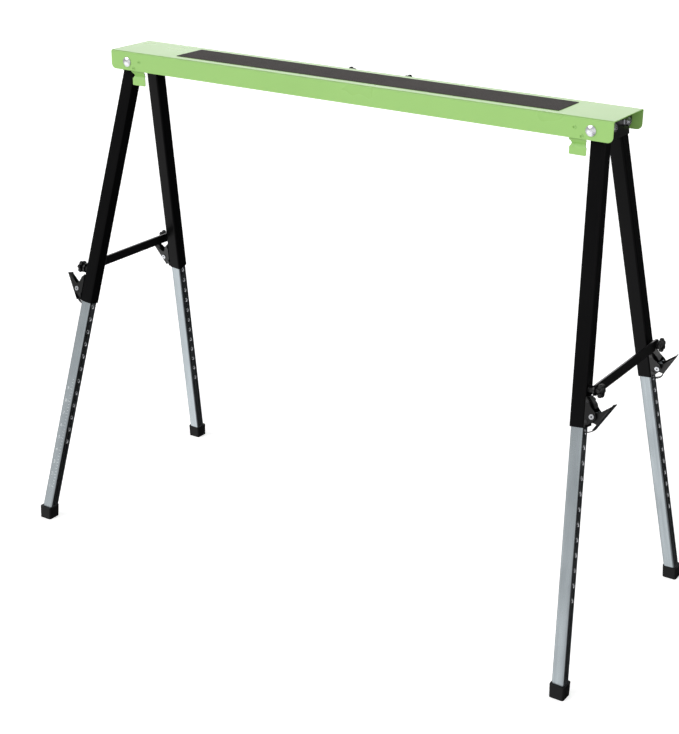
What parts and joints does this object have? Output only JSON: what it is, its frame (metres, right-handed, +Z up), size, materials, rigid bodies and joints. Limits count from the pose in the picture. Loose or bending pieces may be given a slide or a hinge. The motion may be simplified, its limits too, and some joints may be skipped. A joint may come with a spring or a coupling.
{
  "type": "folding sawhorse",
  "caption": "Folding sawhorse with a green steel channel beam, splayed telescoping legs, crossbars and lever locks.",
  "frame": {"origin": "on the floor, under the centre of the beam and of the four feet", "axes": "+X along the beam, +Y across it towards the carry handle, +Z up; rest pose is standing with the legs fully drawn out"},
  "size_m": [1.14, 0.4984, 0.9017],
  "materials": {
    "green_paint": "gloss powder coat",
    "black_paint": "satin powder coat",
    "zinc": "zinc plated",
    "bright_steel": "bright zinc",
    "grip_pad": "fine grit",
    "rubber": "matte",
    "black_plastic": "moulded"
  },
  "bodies": {
    "frame": {"top_channel": "green_paint", "grip_pad": "grip_pad", "pivot_bolts": "bright_steel", "pivot_nuts": "zinc", "pivot_washers": "zinc", "latch_roots": "green_paint", "handle_brackets": "black_paint", "handle_rivets": "bright_steel", "handle_pins": "bright_steel"},
    "handle": {"carry_handle": "black_plastic"},
    "end_left": {"end_bracket_left": "black_paint", "leg_bolts_left": "bright_steel", "leg_nuts_left": "zinc"},
    "end_right": {"end_bracket_right": "black_paint", "leg_bolts_right": "bright_steel", "leg_nuts_right": "zinc"},
    "leg_front_left": {"upper_leg_front_left": "black_paint", "lock_bracket_front_left": "black_paint", "lock_pins_front_left": "bright_steel", "knob_stud_front_left": "black_paint"},
    "lower_front_left": {"lower_leg_front_left": "zinc", "foot_cap_front_left": "rubber"},
    "lever_front_left": {"lock_lever_front_left": "black_paint", "lock_spring_front_left": "zinc"},
    "knob_front_left": {"star_knob_front_left": "black_plastic"},
    "tab_front_left": {"latch_tab_front_left": "green_paint"},
    "leg_front_right": {"upper_leg_front_right": "black_paint", "lock_bracket_front_right": "black_paint", "lock_pins_front_right": "bright_steel", "knob_stud_front_right": "black_paint"},
    "lower_front_right": {"lower_leg_front_right": "zinc", "foot_cap_front_right": "rubber"},
    "lever_front_right": {"lock_lever_front_right": "black_paint", "lock_spring_front_right": "zinc"},
    "knob_front_right": {"star_knob_front_right": "black_plastic"},
    "tab_front_right": {"latch_tab_front_right": "green_paint"},
    "leg_back_left": {"upper_leg_back_left": "black_paint", "lock_bracket_back_left": "black_paint", "lock_pins_back_left": "bright_steel", "knob_stud_back_left": "black_paint"},
    "lower_back_left": {"lower_leg_back_left": "zinc", "foot_cap_back_left": "rubber"},
    "lever_back_left": {"lock_lever_back_left": "black_paint", "lock_spring_back_left": "zinc"},
    "knob_back_left": {"star_knob_back_left": "black_plastic"},
    "tab_back_left": {"latch_tab_back_left": "green_paint"},
    "leg_back_right": {"upper_leg_back_right": "black_paint", "lock_bracket_back_right": "black_paint", "lock_pins_back_right": "bright_steel", "knob_stud_back_right": "black_paint"},
    "lower_back_right": {"lower_leg_back_right": "zinc", "foot_cap_back_right": "rubber"},
    "lever_back_right": {"lock_lever_back_right": "black_paint", "lock_spring_back_right": "zinc"},
    "knob_back_right": {"star_knob_back_right": "black_plastic"},
    "tab_back_right": {"latch_tab_back_right": "green_paint"},
    "bar_left": {"crossbar_left": "black_paint"},
    "bar_right": {"crossbar_right": "black_paint"}
  },
  "joints": [
    {"name": "fold_left", "type": "hinge", "parent": "frame", "child": "end_left", "pos_m": [-0.463, 0, 0.882], "axis": [0, -1, 0], "range_deg": [0, 95.8]},
    {"name": "fold_right", "type": "hinge", "parent": "frame", "child": "end_right", "pos_m": [0.463, 0, 0.882], "axis": [0, 1, 0], "range_deg": [0, 87]},
    {"name": "splay_front_left", "type": "hinge", "parent": "end_left", "child": "leg_front_left", "pos_m": [-0.46797, -0.0265, 0.88251], "axis": [-0.9948, 0, 0.1015], "range_deg": [-13.5, 0]},
    {"name": "height_front_left", "type": "slide", "parent": "leg_front_left", "child": "lower_front_left", "axis": [0.0987, 0.2326, 0.9675], "range_m": [0, 0.275]},
    {"name": "lock_front_left", "type": "hinge", "parent": "leg_front_left", "child": "lever_front_left", "pos_m": [-0.53708, -0.13079, 0.45129], "axis": [-0.0236, 0.9726, -0.2314], "range_deg": [0, 25], "stiffness_Nm_per_rad": 0.05, "springref_deg": -17.19},
    {"name": "knob_turn_front_left", "type": "hinge", "parent": "leg_front_left", "child": "knob_front_left", "pos_m": [-0.53803, -0.1213, 0.49128], "axis": [-0.9948, 0, 0.1015], "continuous": true},
    {"name": "tab_flex_front_left", "type": "hinge", "parent": "frame", "child": "tab_front_left", "pos_m": [-0.4405, -0.0538, 0.8656], "axis": [1, 0, 0], "range_deg": [0, 8], "stiffness_Nm_per_rad": 0.2},
    {"name": "splay_front_right", "type": "hinge", "parent": "end_right", "child": "leg_front_right", "pos_m": [0.46797, -0.0265, 0.88251], "axis": [0.9948, 0, 0.1015], "range_deg": [0, 13.5]},
    {"name": "height_front_right", "type": "slide", "parent": "leg_front_right", "child": "lower_front_right", "axis": [-0.0987, 0.2326, 0.9675], "range_m": [0, 0.275]},
    {"name": "lock_front_right", "type": "hinge", "parent": "leg_front_right", "child": "lever_front_right", "pos_m": [0.53708, -0.13079, 0.45129], "axis": [-0.0236, -0.9726, 0.2314], "range_deg": [0, 25], "stiffness_Nm_per_rad": 0.05, "springref_deg": -17.19},
    {"name": "knob_turn_front_right", "type": "hinge", "parent": "leg_front_right", "child": "knob_front_right", "pos_m": [0.53803, -0.1213, 0.49128], "axis": [0.9948, 0, 0.1015], "continuous": true},
    {"name": "tab_flex_front_right", "type": "hinge", "parent": "frame", "child": "tab_front_right", "pos_m": [0.4405, -0.0538, 0.8656], "axis": [1, 0, 0], "range_deg": [0, 8], "stiffness_Nm_per_rad": 0.2},
    {"name": "splay_back_left", "type": "hinge", "parent": "end_left", "child": "leg_back_left", "pos_m": [-0.46797, 0.0265, 0.88251], "axis": [-0.9948, 0, 0.1015], "range_deg": [0, 13.5]},
    {"name": "height_back_left", "type": "slide", "parent": "leg_back_left", "child": "lower_back_left", "axis": [0.0987, -0.2326, 0.9675], "range_m": [0, 0.275]},
    {"name": "lock_back_left", "type": "hinge", "parent": "leg_back_left", "child": "lever_back_left", "pos_m": [-0.53708, 0.13079, 0.45129], "axis": [0.0236, 0.9726, 0.2314], "range_deg": [0, 25], "stiffness_Nm_per_rad": 0.05, "springref_deg": -17.19},
    {"name": "knob_turn_back_left", "type": "hinge", "parent": "leg_back_left", "child": "knob_back_left", "pos_m": [-0.53803, 0.1213, 0.49128], "axis": [-0.9948, 0, 0.1015], "continuous": true},
    {"name": "tab_flex_back_left", "type": "hinge", "parent": "frame", "child": "tab_back_left", "pos_m": [-0.4405, 0.0538, 0.8656], "axis": [-1, 0, 0], "range_deg": [0, 8], "stiffness_Nm_per_rad": 0.2},
    {"name": "splay_back_right", "type": "hinge", "parent": "end_right", "child": "leg_back_right", "pos_m": [0.46797, 0.0265, 0.88251], "axis": [0.9948, 0, 0.1015], "range_deg": [-13.5, 0]},
    {"name": "height_back_right", "type": "slide", "parent": "leg_back_right", "child": "lower_back_right", "axis": [-0.0987, -0.2326, 0.9675], "range_m": [0, 0.275]},
    {"name": "lock_back_right", "type": "hinge", "parent": "leg_back_right", "child": "lever_back_right", "pos_m": [0.53708, 0.13079, 0.45129], "axis": [0.0236, -0.9726, -0.2314], "range_deg": [0, 25], "stiffness_Nm_per_rad": 0.05, "springref_deg": -17.19},
    {"name": "knob_turn_back_right", "type": "hinge", "parent": "leg_back_right", "child": "knob_back_right", "pos_m": [0.53803, 0.1213, 0.49128], "axis": [0.9948, 0, 0.1015], "continuous": true},
    {"name": "tab_flex_back_right", "type": "hinge", "parent": "frame", "child": "tab_back_right", "pos_m": [0.4405, 0.0538, 0.8656], "axis": [-1, 0, 0], "range_deg": [0, 8], "stiffness_Nm_per_rad": 0.2},
    {"name": "bar_swing_left", "type": "hinge", "parent": "leg_back_left", "child": "bar_left", "pos_m": [-0.53057, 0.1213, 0.49051], "axis": [-0.9948, 0, 0.1015], "range_deg": [0, 76.65]},
    {"name": "bar_swing_right", "type": "hinge", "parent": "leg_front_right", "child": "bar_right", "pos_m": [0.53057, -0.1213, 0.49051], "axis": [0.9948, 0, 0.1015], "range_deg": [0, 76.65]},
    {"name": "handle_swing", "type": "hinge", "parent": "frame", "child": "handle", "pos_m": [0, 0.076, 0.8899], "axis": [1, 0, 0], "range_deg": [-15, 150]}
  ],
  "couplings": [
    {"joint": "splay_front_left", "follows": "fold_left", "ratio": -0.14042},
    {"joint": "splay_front_right", "follows": "fold_right", "ratio": 0.15462},
    {"joint": "splay_back_left", "follows": "fold_left", "ratio": 0.14042},
    {"joint": "splay_back_right", "follows": "fold_right", "ratio": -0.15462},
    {"joint": "bar_swing_left", "follows": "fold_left", "ratio": 0.79904},
    {"joint": "bar_swing_right", "follows": "fold_right", "ratio": 0.87986}
  ]
}
